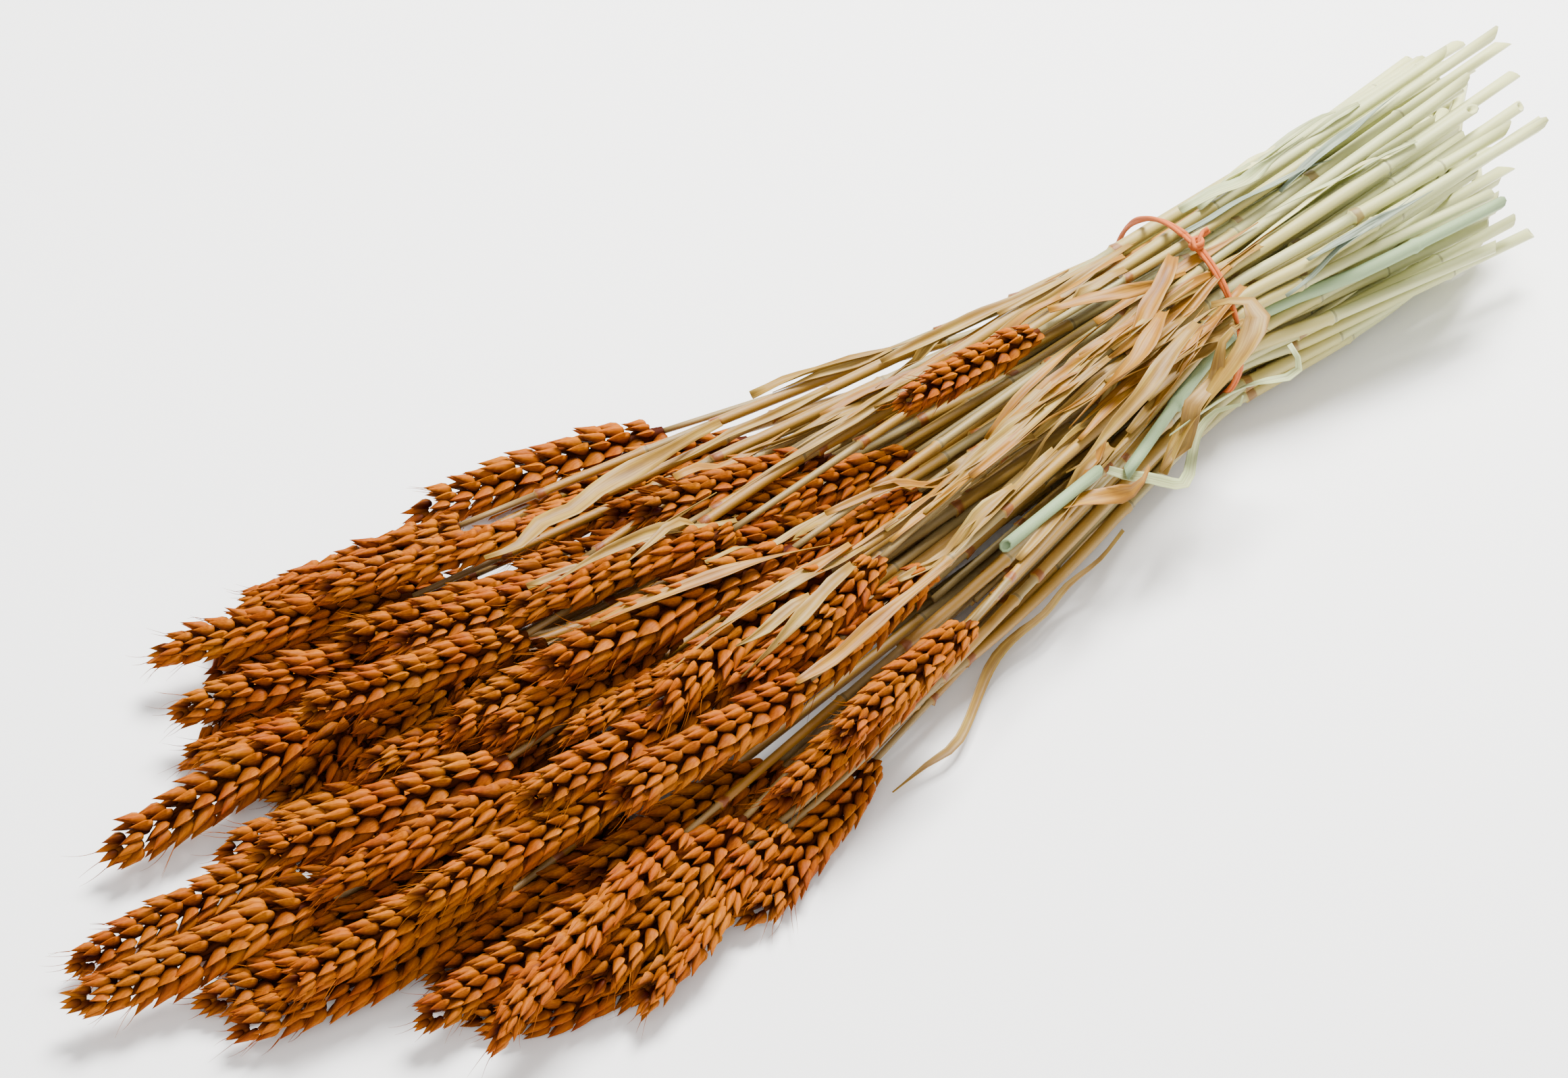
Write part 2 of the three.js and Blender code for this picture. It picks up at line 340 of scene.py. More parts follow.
def append_copy(bm, mesh, matrix, tone_shift=0.0):
    """Adds a copy of a mesh, moved by matrix, with its own tone."""
    known = len(bm.verts)
    bm.from_mesh(mesh)
    bm.verts.ensure_lookup_table()
    made = bm.verts[known:]
    bmesh.ops.transform(bm, matrix=matrix, verts=made)
    tone = layers(bm)[1]
    for vert in made:
        vert[tone] += tone_shift


def sweep(bm, section, stations, closed=True):
    """Extrudes a section along stations, each a matrix, a size, a distance along and a tone.

    A section's points are (across, out), as parts of the size, and the grain layer keeps them
    with the distance along. Gives the first ring's points and the last ring's edges."""
    grain, tone, shade = layers(bm)
    matrix, size, distance, tone_value = stations[0]
    start = []
    for across, out in section:
        vert = bm.verts.new(matrix @ Vector((0, across * size, out * size)))
        vert[grain] = Vector((distance, across, out))
        vert[tone] = tone_value
        vert[shade] = 1.0
        start.append(vert)
    others = start[1:] + start[:1] if closed else start[1:]
    edges = [bm.edges.new(pair) for pair in zip(start, others)]
    for matrix, size, distance, tone_value in stations[1:]:
        made = bmesh.ops.extrude_edge_only(bm, edges=edges)["geom"]
        new = {item for item in made if isinstance(item, bmesh.types.BMVert)}
        edges = [e for e in made if isinstance(e, bmesh.types.BMEdge) and all(v in new for v in e.verts)]
        for vert in new:
            _, across, out = vert[grain]
            vert.co = matrix @ Vector((0, across * size, out * size))
            vert[grain] = Vector((distance, across, out))
            vert[tone] = tone_value
            vert[shade] = 1.0
    return start, edges


def round_section(sides, radius=1.0):
    turns = [2 * math.pi * i / sides for i in range(sides)]
    return [(radius * math.cos(turn), radius * math.sin(turn)) for turn in turns]


# ---- Materials ----


def add_node(tree, kind, links=(), stops=(), **settings):
    """Adds a node. links are (its input, another node, that node's output), and stops are a
    ramp's places with a hex colour or a share. Settings are its properties, or its inputs by name
    or as i and a number."""
    node = tree.nodes.new(kind)
    for key, value in settings.items():
        if hasattr(node, key):
            setattr(node, key, value)
        elif key[0] == "i" and key[1:].isdigit():
            node.inputs[int(key[1:])].default_value = value
        else:
            node.inputs[key.replace("_", " ")].default_value = value
    for target, source, output in links:
        tree.links.new(source.outputs[output], node.inputs[target])
    for number, (place, value) in enumerate(stops):
        elements = node.color_ramp.elements
        element = elements[number] if number < len(elements) else elements.new(place)
        element.position = place
        element.color = srgb(value) if isinstance(value, str) else (value, value, value, 1)
    return node


# Settings of a node that mixes two colours, and of one that darkens the first by the second.
# Their factor is input 0, their colours are inputs 6 and 7 and their result is output 2.
MIXED = {"data_type": "RGBA", "blend_type": "MIX"}
DARKENED = {"data_type": "RGBA", "blend_type": "MULTIPLY"}


def new_material(name):
    material = bpy.data.materials.new(name)
    material.use_nodes = True
    tree = material.node_tree
    tree.nodes.clear()
    shader = tree.nodes.new("ShaderNodeBsdfPrincipled")
    output = tree.nodes.new("ShaderNodeOutputMaterial")
    tree.links.new(shader.outputs[0], output.inputs[0])
    return material, tree, shader


def wire_skin(tree, shader, colour, relief, strength, depth, roughness, specular):
    """Gives a shader its colour, as (node, output), its relief, as a node, and its gloss."""
    tree.links.new(colour[0].outputs[colour[1]], shader.inputs["Base Color"])
    bump = add_node(
        tree, "ShaderNodeBump", links=[("Height", relief, 0)], Strength=strength, Distance=depth
    )
    tree.links.new(bump.outputs[0], shader.inputs["Normal"])
    shader.inputs["Roughness"].default_value = roughness
    shader.inputs["Specular IOR Level"].default_value = specular


def grain_noise(tree, stretch, scale=1.0, detail=3.0):
    """Noise on the grain layer, stretched along the piece. stretch is cycles per metre."""
    grain = add_node(tree, "ShaderNodeAttribute", attribute_name="grain")
    place = add_node(tree, "ShaderNodeMapping", links=[(0, grain, 1)])
    place.inputs["Scale"].default_value = stretch
    return add_node(tree, "ShaderNodeTexNoise", links=[(0, place, 0)], Scale=scale, Detail=detail)


# The longest husk is about 11.4 mm before it is scaled, so this turns its length into 0 to 1.
HUSKS_PER_METRE = 88.0


def husk_material():
    """Dry wheat chaff, dyed: a papery skin with a low waxy gloss and fine ribs. The dye is reddest at the
    tips, and painted shade darkens the crevices between the husks and the foot of each husk."""
    material, tree, shader = new_material("dyed_wheat_chaff")
    grain = add_node(tree, "ShaderNodeAttribute", attribute_name="grain")
    parts = add_node(tree, "ShaderNodeSeparateXYZ", links=[(0, grain, 1)])
    along = add_node(tree, "ShaderNodeMath", links=[(0, parts, 2)], operation="MULTIPLY", i1=HUSKS_PER_METRE)
    # Along the husk: the dark foot is painted shade where the husks overlap, and the redder, darker tip is
    # the chaff's own colour.
    body = add_node(
        tree, "ShaderNodeValToRGB", [(0, along, 0)],
        [(0.0, "#5E2000"), (0.14, "#B05E00"), (0.42, "#A65200"), (0.72, "#8C3600"), (1.0, "#6A1E00")],
    )
    tone = add_node(tree, "ShaderNodeAttribute", attribute_name="tone")
    tint = add_node(
        tree, "ShaderNodeValToRGB", [(0, tone, 2)],
        [(0.0, "#6C2C00"), (0.35, "#924600"), (0.65, "#AA5A00"), (1.0, "#BA7206")],
    )
    toned = add_node(tree, "ShaderNodeMix", [(6, body, 0), (7, tint, 0)], i0=0.5, **MIXED)
    spot = add_node(tree, "ShaderNodeTexCoord")
    patch = add_node(tree, "ShaderNodeTexNoise", links=[(0, spot, 3)], Scale=60.0, Detail=4.0)
    patch_share = add_node(tree, "ShaderNodeValToRGB", [(0, patch, 0)], [(0.42, 0.0), (0.7, 0.8)])
    patched = add_node(
        tree, "ShaderNodeMix", [(0, patch_share, 0), (6, toned, 2)], i7=srgb("#AE6800"), **MIXED
    )
    ribs = grain_noise(tree, (2600, 2600, 70), 1.0, 2.0)
    rib_share = add_node(tree, "ShaderNodeValToRGB", [(0, ribs, 0)], [(0.40, 0.0), (0.62, 0.4)])
    ribbed = add_node(
        tree, "ShaderNodeMix", [(0, rib_share, 0), (6, patched, 2)], i7=srgb("#A86A30"), **DARKENED
    )
    # Painted shade: darkens the chaff towards #4E1402 where the shade layer is low, in the crevices between
    # husks, at a husk's sides and on the ear's hidden core.
    shade = add_node(tree, "ShaderNodeAttribute", attribute_name="shade")
    shade_share = add_node(tree, "ShaderNodeValToRGB", [(0, shade, 2)], [(0.0, 1.0), (0.95, 0.0)])
    shaded = add_node(
        tree, "ShaderNodeMix", [(0, shade_share, 0), (6, ribbed, 2)], i7=srgb("#4E1402"), **DARKENED
    )
    wire_skin(tree, shader, (shaded, 2), ribs, 0.3, 0.2 * MM, roughness=0.52, specular=0.06)
    return material


# How far the dye's edge wanders along the stems, either way.
DYE_WANDER = 0.08


def straw_material():
    """Wheat straw: a waxy, finely ribbed skin, orange where the dye ran and pale sage past it."""
    material, tree, shader = new_material("wheat_straw")
    spot = add_node(tree, "ShaderNodeTexCoord")
    parts = add_node(tree, "ShaderNodeSeparateXYZ", links=[(0, spot, 3)])
    wander = grain_noise(tree, (14, 500, 500), 1.0, 3.0)
    shift = add_node(
        tree, "ShaderNodeMath", links=[(0, wander, 0)],
        operation="MULTIPLY_ADD", i1=2 * DYE_WANDER, i2=-DYE_WANDER,
    )
    place = add_node(tree, "ShaderNodeMath", links=[(0, parts, 0), (1, shift, 0)], operation="ADD")
    share = add_node(tree, "ShaderNodeMapRange", links=[(0, place, 0)])
    share.inputs[1].default_value = CAD_LOW.x / 2
    share.inputs[2].default_value = CAD_HIGH.x
    straw = add_node(
        tree, "ShaderNodeValToRGB", [(0, share, 0)],
        [
            (0.0, "#866430"), (0.3, "#947A42"), (0.5, "#9C8C54"), (0.66, "#BCB87C"),
            (0.8, "#C4CA8E"), (1.0, "#E0E29E"),
        ],
    )
    sheath = add_node(
        tree, "ShaderNodeValToRGB", [(0, share, 0)],
        [
            (0.0, "#925E12"), (0.35, "#9E7626"), (0.55, "#A68638"), (0.68, "#BEB268"),
            (0.8, "#C2C888"), (1.0, "#E2E2A2"),
        ],
    )
    collar = add_node(
        tree, "ShaderNodeValToRGB", [(0, share, 0)],
        [(0.0, "#7C3A04"), (0.55, "#8A5210"), (0.8, "#90854C"), (1.0, "#ACA86A")],
    )
    tone = add_node(tree, "ShaderNodeAttribute", attribute_name="tone")
    wrapped = add_node(tree, "ShaderNodeValToRGB", [(0, tone, 2)], [(0.48, 0.0), (0.52, 1.0)])
    torn = add_node(tree, "ShaderNodeValToRGB", [(0, tone, 2)], [(0.84, 0.0), (0.94, 1.0)])
    knotted = add_node(tree, "ShaderNodeValToRGB", [(0, tone, 2)], [(0.06, 0.5), (0.2, 0.0)])
    skin = add_node(tree, "ShaderNodeMix", [(0, wrapped, 0), (6, straw, 0), (7, sheath, 0)], **MIXED)
    skin = add_node(tree, "ShaderNodeMix", [(0, torn, 0), (6, skin, 2), (7, collar, 0)], **MIXED)
    skin = add_node(
        tree, "ShaderNodeMix", [(0, knotted, 0), (6, skin, 2)], i7=srgb("#4A3C1C"), **MIXED
    )
    ribs = grain_noise(tree, (25, 2600, 2600), 1.0, 2.0)
    rib_share = add_node(tree, "ShaderNodeValToRGB", [(0, ribs, 0)], [(0.36, 0.38), (0.6, 0.0)])
    ribbed = add_node(
        tree, "ShaderNodeMix", [(0, rib_share, 0), (6, skin, 2)], i7=srgb("#866234"), **DARKENED
    )
    stain = grain_noise(tree, (45, 420, 420), 1.0, 4.0)
    stain_share = add_node(tree, "ShaderNodeValToRGB", [(0, stain, 0)], [(0.56, 0.0), (0.68, 0.5)])
    stained = add_node(
        tree, "ShaderNodeMix", [(0, stain_share, 0), (6, ribbed, 2)], i7=srgb("#B07A40"), **DARKENED
    )
    wire_skin(tree, shader, (stained, 2), ribs, 0.35, 0.12 * MM, roughness=0.42, specular=0.45)
    return material


def leaf_material(name, stops):
    """A dry leaf blade: papery, with fine veins along it."""
    material, tree, shader = new_material(name)
    veins = grain_noise(tree, (18, 2400, 2400), 1.0, 2.0)
    blotch = grain_noise(tree, (60, 260, 260), 1.0, 4.0)
    colour = add_node(tree, "ShaderNodeValToRGB", [(0, blotch, 0)], stops)
    vein_share = add_node(tree, "ShaderNodeValToRGB", [(0, veins, 0)], [(0.4, 0.35), (0.58, 0.0)])
    veined = add_node(
        tree, "ShaderNodeMix", [(0, vein_share, 0), (6, colour, 0)], i7=srgb("#946A34"), **DARKENED
    )
    wire_skin(tree, shader, (veined, 2), veins, 0.5, 0.12 * MM, roughness=0.55, specular=0.35)
    return material


def cord_material():
    """Twisted paper cord, dyed orange: matt, with fine creases along each strand."""
    material, tree, shader = new_material("twisted_paper_cord")
    creases = grain_noise(tree, (260, 2600, 2600), 1.0, 3.0)
    colour = add_node(
        tree, "ShaderNodeValToRGB", [(0, creases, 0)],
        [(0.3, "#923800"), (0.55, "#C45A00"), (0.75, "#D67400")],
    )
    wire_skin(tree, shader, (colour, 0), creases, 0.5, 0.15 * MM, roughness=0.68, specular=0.5)
    return material


def floor_material():
    """Matt white paper, plain on purpose."""
    material, _, shader = new_material("white_backdrop_paper")
    shader.inputs["Base Color"].default_value = srgb("#F6F5F3")
    shader.inputs["Roughness"].default_value = 0.9
    shader.inputs["Specular IOR Level"].default_value = 0.1
    return material


def material_named(name, make, *args):
    """Makes a material the first time that it is asked for."""
    return bpy.data.materials.get(name) or make(*args)


# ---- Ears ----

# Sides and rings of a husk.
FINE_HUSK, COARSE_HUSK = (8, 8), (6, 5)


def make_husk(length, width, depth, keel, curl, beak, tone_value, facets):
    """One husk scale, round at its foot and pointed at its tip, with its keel towards +Y.

    The sizes are in millimetres, and the grain layer keeps them in metres. facets are its sides
    and rings. A strong keel is creased."""
    bm = bmesh.new()
    bmesh.ops.create_uvsphere(bm, u_segments=facets[0], v_segments=facets[1], radius=1.0)
    grain, tone, shade = layers(bm)
    creased = set()
    for vert in bm.verts:
        x, y, z = vert.co
        share = (z + 1) / 2
        belly = math.sqrt(max(1e-6, 1 - z * z))
        across = x / belly
        if keel > 0.3 and y > 0 and abs(across) < 0.01 and share > 0.3:
            creased.add(vert)
        taper = 1.0 - 0.4 * smooth_step(0.45, 1.0, share)
        out = depth * y * taper * mix(1.25, 1.0, smooth_step(0.3, 0.8, share))
        out *= 1 + keel * (1 - abs(across)) ** 2 if y > 0 else 0.3
        height = length * share**1.35 + (beak if share > 0.99 else 0)
        side = x * taper * width / 2
        vert.co = Vector((side, out + curl * length * (share - 0.35) ** 2, height))
        vert[grain] = vert.co * MM
        vert[tone] = tone_value
        # Painted shade: a husk's sides are darker than its ridge, as if shaded where they turn away.
        vert[shade] = 1.0 - 0.75 * abs(across) ** 3
    for edge in bm.edges:
        if all(vert in creased for vert in edge.verts):
            edge.smooth = False
    return finish_mesh(bm, "husk")


# The scales of a spikelet: the kind, then the sideways, outward and upward place, the sideways
# and outward lean and the turn of the keel, in millimetres and degrees. Each row of the first
# table is made on both sides.
SPIKELET_PAIRS = [
    ("glume", 2.1, 0.2, 0.0, 17, -1, 62),
    ("lemma", 1.6, 2.0, 1.8, 13, 7, 38),
]
SPIKELET_MIDDLES = [
    ("lemma", 0.2, 2.9, 2.8, 2, 13, 6),
    ("floret", -0.4, 1.8, 5.8, -4, 4, -10),
]
LARGEST_HUSK = 10.8 * MM
HUSK_KINDS = {
    "glume": dict(length=9.6, width=4.5, depth=2.7, keel=0.34, curl=0.12, beak=1.3),
    "lemma": dict(length=11.2, width=4.1, depth=2.7, keel=0.12, curl=0.14, beak=1.2),
    "floret": dict(length=8.6, width=3.6, depth=2.1, keel=0.1, curl=0.05, beak=0.9),
}


def make_spikelet(rng, awns, coarse=False):
    """A fan of husk scales, growing towards +Z with its outer face towards +Y."""
    size = bpy.context.scene.wheat_ears.husk / LARGEST_HUSK
    rows = []
    for kind, side, out, up, lean, tilt, turn in SPIKELET_PAIRS:
        for sign in (-1, 1):
            rows.append((kind, sign * side, out, up + 0.5 * (sign > 0), sign * lean, tilt, sign * turn))
    rows += SPIKELET_MIDDLES[:1] if coarse else SPIKELET_MIDDLES
    bm = bmesh.new()
    shade = layers(bm)[2]
    for kind, side, out, up, lean, tilt, turn in rows:
        sizes = {key: value * rng.uniform(0.92, 1.08) for key, value in HUSK_KINDS[kind].items()}
        for key in ("length", "width", "depth", "beak"):
            sizes[key] *= size
        facets = COARSE_HUSK if coarse else FINE_HUSK
        husk = make_husk(**sizes, tone_value=rng.uniform(0.25, 0.75), facets=facets)
        place = (
            Matrix.Translation(Vector((side, out, up)) * size)
            @ Matrix.Rotation(math.radians(lean + rng.uniform(-6, 6)), 4, "Y")
            @ Matrix.Rotation(math.radians(-tilt + rng.uniform(-5, 5)), 4, "X")
            @ Matrix.Rotation(math.radians(-turn + rng.uniform(-12, 12)), 4, "Z")
        )
        append_copy(bm, husk, place)
        bpy.data.meshes.remove(husk)
        if awns and kind == "lemma":
            bend = sizes["curl"] * sizes["length"] * 0.36
            tip = place @ Vector((0, bend, sizes["length"] + sizes["beak"] * 0.6))
            add_awn(bm, tip, place.to_3x3() @ Vector((0, 0.12, 1)), rng)
    # Painted shade: darker towards the ear's middle, where the husks crowd together.
    for vert in bm.verts:
        reach = math.hypot(0.8 * vert.co.x, vert.co.y + 0.16 * vert.co.z)
        vert[shade] *= smooth_step(1.6, 5.8, reach / size)
    return finish_mesh(bm, "spikelet")


def add_awn(bm, start, direction, rng):
    """A fine bristle that starts at the tip of a husk and bends a little on its way."""
    length = bpy.context.scene.wheat_ears.awn / MM * rng.uniform(0.35, 1.0)
    bend = Vector((rng.uniform(-1, 1), rng.uniform(-1, 1), 0)) * 0.3
    steps = 4
    shares = [k / steps for k in range(steps + 1)]
    line = [start + (direction.normalized() * t + bend * t * t) * length for t in shares]
    stations = []
    for k, (place, along) in enumerate(zip(line, tangents(line))):
        radius = mix(0.17, 0.03, k / steps)
        stations.append((frame_at(place, along, Vector((0.3, 1, 0.2))), radius, 9.0 + k * 0.5, 0.5))
    sweep(bm, round_section(3), stations)


def spikelet_set():
    """A few spikelets to grow ears from: plain ones, and ones with awns for the tip. They are
    made in millimetres."""
    rng = random.Random(11)
    plain = [make_spikelet(rng, awns=False) for _ in range(6)]
    tipped = [make_spikelet(rng, awns=True) for _ in range(4)]
    return plain, tipped


def coarse_spikelet_set():
    """Plainer spikelets for the ears inside the heap."""
    rng = random.Random(12)
    plain = [make_spikelet(rng, awns=False, coarse=True) for _ in range(4)]
    return plain, plain


def grow_ear(bm, line, size, turn, ear_tone, rng, spikelets):
    """Grows spikelets along a line from the foot of the ear to its tip, left and right in turn."""
    plain, tipped = spikelets
    settings = bpy.context.scene.wheat_ears
    directions = tangents(line)
    lengths = distances_along(line)
    total = lengths[-1]
    crown = 9.5 * MM * size
    count = max(6, round((total - crown) / (settings.spacing * size)))
    spacing = (total - crown) / count
    wander = rng.uniform(-0.9, 0.9)
    for k in range(count + 1):
        distance = spacing * k
        share = k / count
        i = next((n for n in range(1, len(lengths)) if lengths[n] >= distance), len(lengths) - 1)
        part = (distance - lengths[i - 1]) / (lengths[i] - lengths[i - 1])
        place = line[i - 1].lerp(line[i], part)
        along = directions[i - 1].lerp(directions[i], part).normalized()
        side = 1 if k % 2 else -1
        twist = turn + wander * (share - 0.5) + rng.uniform(-0.12, 0.12)
        out = side_vector(along, twist) * side
        grown = size * mix(0.74, 1.0, smooth_step(0.0, 0.2, share))
        grown *= mix(1.0, 0.78, smooth_step(0.62, 1.0, share))
        lean = settings.lean * mix(1.0, 0.6, smooth_step(0.6, 1.0, share)) + rng.uniform(-0.09, 0.11)
        grown *= rng.uniform(0.92, 1.08)
        if k == count:
            lean, out = 0.0, side_vector(along, twist + math.pi / 2)
        mesh = rng.choice(tipped if share > 0.72 and rng.random() < 0.75 else plain)
        basis = Matrix((out.cross(along), out, along)).transposed().to_4x4()
        matrix = (
            Matrix.Translation(place + out * 0.5 * MM * size)
            @ basis
            @ Matrix.Rotation(-lean, 4, "X")
            @ Matrix.Rotation(rng.uniform(-0.16, 0.16), 4, "Y")
            @ Matrix.Rotation(rng.uniform(-0.2, 0.2), 4, "Z")
            @ Matrix.Scale(grown * MM, 4)
        )
        append_copy(bm, mesh, matrix, tone_shift=ear_tone + rng.uniform(-0.14, 0.14))


def side_vector(along, turn):
    """A direction square to along, turned round it from straight up."""
    level = along.cross(UP).normalized()
    upright = level.cross(along)
    return (upright * math.cos(turn) + level * math.sin(turn)).normalized()


def ear_line(strand):
    """The middle of an ear from its foot to its tip."""
    neck = neck_index(strand)
    points = [strand.places[i] for i in range(neck, -1, -1)]
    return smooth_line(points, 4 * MM)


def ear_turn(rng):
    """How far an ear is turned round its own line. Most show their plaited side."""
    return rng.uniform(0.45, 1.35) if rng.random() < 0.85 else rng.uniform(1.6, 2.8)


# The part of an ear's length that its core takes, so that the tip hides its end.
CORE_SHARE = 0.78


def make_core(bm, line, size):
    """The core of the ear, which the spikelets hide: its stalk and the feet of the husks."""
    count = round(len(line) * CORE_SHARE)
    stations = []
    for i, (along, distance) in enumerate(zip(tangents(line)[:count], distances_along(line))):
        share = i / (count - 1)
        radius = mix(2.3, 0.5, share) * smooth_step(-0.12, 0.08, share) * MM * size
        stations.append((frame_at(line[i], along, UP), radius, distance, 0.3))
    sweep(bm, round_section(6), stations)
    # The core is painted in deep shade.
    shade = layers(bm)[2]
    for vert in bm.verts:
        vert[shade] = 0.15


def press_on_floor(bm):
    """Flattens what is near the floor or under it, so that it lies on the floor."""
    soft = 3 * MM
    for vert in bm.verts:
        if vert.co.z < soft:
            vert.co.z = soft * math.exp(vert.co.z / soft - 1)


USUAL_EAR = 80 * MM


def add_ear(name, strand, spikelets, rng, turn, replaced=(), heap_painted_shade=0.0):
    """An ear on a strand. A short ear has smaller spikelets than a long one, and an ear deep in the heap can
    be given a lower tone as painted shade.
    """
    line = ear_line(strand)
    length = distances_along(line)[-1]
    size = min(1.12, max(0.74, (length / USUAL_EAR) ** 0.8)) * rng.uniform(0.96, 1.05)
    bm = bmesh.new()
    layers(bm)
    make_core(bm, line, size)
    # The ear's tone is lowered for ears inside the heap, as painted shade.
    grow_ear(bm, line, size, turn, rng.uniform(-0.18, 0.18) - heap_painted_shade, rng, spikelets)
    press_on_floor(bm)
    mesh = finish_mesh(bm, name)
    return add_piece(mesh, material_named("dyed_wheat_chaff", husk_material), replaced)


# ---- Stems ----

# Tones that the straw material reads: a knot's dark line, bare straw, a sheath round it, and the
# torn collar at the sheath's end.
KNOT_TONE, STRAW_TONE, SHEATH_TONE, COLLAR_TONE = 0.0, 0.3, 0.7, 1.0

# How deep the hollow shows in a cut end, and the bare straw's part of a stem's thickness.
BORE_DEPTH = 4 * MM
BARE_SHARE = 0.87


def stem_features(total, rng):
    """Places along a stem with their extra radius and tone. A sheath runs from each knot part
    of the way towards the ear."""
    settings = bpy.context.scene.wheat_straws
    swell, sheath = settings.swell, settings.sheath
    features, sheaths = [], []
    previous = 0.0
    knot = rng.uniform(55, 130) * MM
    while knot < total - 25 * MM:
        start = knot - (knot - previous) * rng.uniform(0.35, 0.92)
        sheaths.append((start, knot))
        features += [
            (start - 0.5 * MM, 0.0, STRAW_TONE),
            (start, sheath + rng.uniform(0.3, 0.7) * MM, COLLAR_TONE),
            (start + rng.uniform(1.5, 3.5) * MM, sheath + 0.1 * MM, COLLAR_TONE),
            (start + 4.5 * MM, sheath, SHEATH_TONE),
            (knot - 2.4 * MM, sheath, SHEATH_TONE),
            (knot - 0.9 * MM, sheath + swell * 0.8, SHEATH_TONE),
            (knot - 0.2 * MM, swell * 0.9, KNOT_TONE),
            (knot + 0.5 * MM, swell * 0.6, KNOT_TONE),
            (knot + 0.9 * MM, swell * 0.7, STRAW_TONE),
            (knot + 2.6 * MM, 0.0, STRAW_TONE),
        ]
        previous = knot
        knot += rng.uniform(70, 140) * MM
    return features, sheaths


def stem_stations(places, radii, rng):
    """Stations along a stem, close together at its knots and far apart between them."""
    line = smooth_line(places, 4 * MM)
    distances, spans = distances_along(line), distances_along(places)
    total = distances[-1]
    features, sheaths = stem_features(total, rng)
    plain = [
        d for d in distances[::3]
        if d < total - 12 * MM and all(abs(d - feature[0]) > 2 * MM for feature in features)
    ]
    for d in [*plain, total]:
        covered = any(start < d < knot for start, knot in sheaths)
        sheath = bpy.context.scene.wheat_straws.sheath * covered
        features.append((d, sheath, SHEATH_TONE if covered else STRAW_TONE))
    features = sorted(feature for feature in features if 0 <= feature[0] <= total)
    axes = [[place[i] for place in line] for i in range(3)]
    curve = [Vector([float(np.interp(d, distances, axis)) for axis in axes]) for d, _, _ in features]
    start = rng.uniform(0, 5)
    return [
        (frame_at(place, along, UP), float(np.interp(d, spans, radii)) + extra, d + start, tone)
        for place, along, (d, extra, tone) in zip(curve, tangents(curve), features)
    ]


def cut_aslant(verts, along, slant, rng):
    """Moves an end ring's points back along the stem, so that the cut is slanted and torn."""
    middle = sum((vert.co for vert in verts), Vector()) / len(verts)
    low = Vector((rng.uniform(-1, 1), rng.uniform(-1, 1), rng.uniform(-1, 1)))
    low = (low - low.project(along)).normalized()
    for vert in verts:
        offset = vert.co - middle
        share = 0.5 + 0.5 * offset.dot(low) / offset.length
        vert.co -= along * (slant * share + rng.uniform(0, 0.08) * slant)


def ring_of(edges):
    """The points of a ring of edges, in order."""
    return list({vert: None for edge in edges for vert in edge.verts})


def add_straw_tube(bm, stations, hollow_ends, rng):
    """A straw: a closed tube, with a short hollow and a slanted cut at each end in hollow_ends."""
    start, edges = sweep(bm, round_section(8), stations)
    tone = layers(bm)[1]
    for vert in bm.verts:
        if vert[tone] > 0.95:
            tear = (rng.uniform(-0.5, 0.5), rng.uniform(-0.3, 0.3), rng.uniform(-0.3, 0.3))
            vert.co += Vector(tear) * MM
    settings = bpy.context.scene.wheat_straws
    ends = (("start", start, stations[0][0], -1), ("end", ring_of(edges), stations[-1][0], 1))
    for key, verts, matrix, sign in ends:
        along = matrix.to_3x3() @ Vector((sign, 0, 0))
        if key in hollow_ends:
            size = (verts[0].co - matrix.translation).length
            cut_aslant(verts, along, rng.uniform(0.5, 1.0) ** 2 * settings.slant, rng)
        face = bmesh.ops.contextual_create(bm, geom=verts)["faces"][0]
        if key in hollow_ends:
            bmesh.ops.inset_individual(bm, faces=[face], thickness=size * (1 - settings.bore))
            inner = bmesh.ops.extrude_discrete_faces(bm, faces=[face])["faces"]
            bmesh.ops.translate(bm, verts=inner[0].verts, vec=along * -BORE_DEPTH)
    bmesh.ops.recalc_face_normals(bm, faces=bm.faces)


def add_stem(name, places, radii, rng, replaced=(), hollow_ends=("end",), slot="stalk"):
    """A stem along places. Its bare straw is thinner than radii, which leave room for sheaths."""
    radii = [radius * BARE_SHARE for radius in radii]
    bm = bmesh.new()
    layers(bm)
    add_straw_tube(bm, stem_stations(places, radii, rng), hollow_ends, rng)
    if slot == "cut_straw":
        material = leaf_named("green_wheat_straw")
    else:
        material = material_named("wheat_straw", straw_material)
    return add_piece(finish_mesh(bm, name), material, replaced)


# ---- Stalks inside the heap ----

# The inner strands are worked out at steps along X, over a number of rounds. Their ears lie
# within this part of the heap's height, and strands keep this much apart.
INNER_STEP = 6 * MM
INNER_ROUNDS = 140
INNER_HEIGHT = 0.62
INNER_GAP = 0.2 * MM
EAR_TRIES = 50


def stations_of(strand, xs):
    """A strand's middle and radius at each of xs, with a radius of 0 where it doesn't reach."""
    own = [place.x for place in strand.places]
    middle = np.stack([np.interp(xs, own, [place[i] for place in strand.places]) for i in (1, 2)], axis=1)
    radius = np.interp(xs, own, strand.radii, left=0.0, right=0.0)
    return middle, radius


